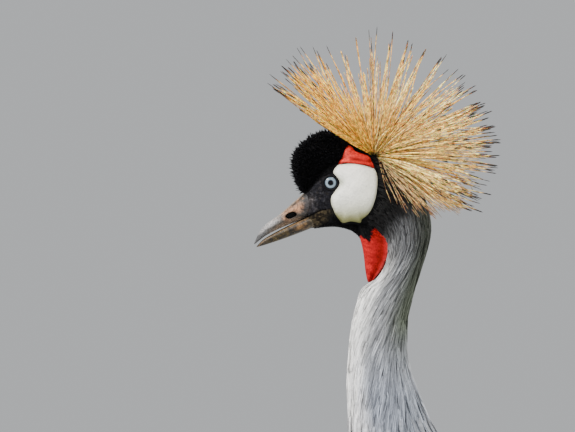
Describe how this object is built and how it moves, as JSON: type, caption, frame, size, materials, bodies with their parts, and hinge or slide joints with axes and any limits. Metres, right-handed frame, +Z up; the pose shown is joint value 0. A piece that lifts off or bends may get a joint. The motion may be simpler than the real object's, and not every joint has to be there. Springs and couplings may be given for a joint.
{
  "type": "grey crowned crane",
  "caption": "Life-size standing crowned crane, still: grey neck and body, folded pale wings, fan-shaped straw crest, velvet crown, white cheeks and red wattle",
  "frame": {"origin": "centre of the bounding box at the level of the soles", "axes": "+Z up, the bill points to -X, the bird's left side faces -Y"},
  "size_m": [0.5858, 0.2332, 1.0674],
  "materials": {
    "face_skin": "matt fine scaly skin with very short dark feathers",
    "bill_horn": "satin horn, dark grey with a pale ridge and a pinkish root",
    "eye": "glossy, pale grey-blue iris with a black pupil",
    "cheek_skin": "matt bare skin, warm white",
    "red_skin": "soft satin bare skin, red, finely folded",
    "velvet_feather": "velvet, jet black, very short dense plumage",
    "crest_feather": "stiff twisted bristle feathers, straw gold with pale and dark flecks and dark tips",
    "nape_feather": "soft short plumage, black fading to grey",
    "neck_feather": "long fine loose plumes, pale to mid grey",
    "body_feather": "lance-shaped soft plumes, slate grey",
    "wing_feather": "white coverts, straw gold plumes, chestnut and black flight feathers",
    "tail_feather": "black vaned feathers",
    "leg_scale": "satin black scaly skin",
    "claw_horn": "satin dark horn"
  },
  "bodies": {
    "root": {"head": "face_skin", "bill_upper": "bill_horn", "bill_lower": "bill_horn", "eye_left": "eye", "eye_right": "eye", "cheek_left": "cheek_skin", "cheek_right": "cheek_skin", "red_patch_left": "red_skin", "red_patch_right": "red_skin", "crown": "velvet_feather", "wattle": "red_skin", "crest": "crest_feather", "neck_upper": "nape_feather", "neck_middle": "neck_feather", "neck_lower": "neck_feather", "torso": "body_feather", "wing_left": "wing_feather", "wing_right": "wing_feather", "tail": "tail_feather", "thigh_left": "body_feather", "thigh_right": "body_feather", "shank_left": "leg_scale", "shank_right": "leg_scale", "tarsus_left": "leg_scale", "tarsus_right": "leg_scale", "foot_left": "leg_scale", "foot_right": "leg_scale", "claw_inner_left": "claw_horn", "claw_middle_left": "claw_horn", "claw_outer_left": "claw_horn", "claw_hind_left": "claw_horn", "claw_inner_right": "claw_horn", "claw_middle_right": "claw_horn", "claw_outer_right": "claw_horn", "claw_hind_right": "claw_horn"}
  },
  "joints": []
}
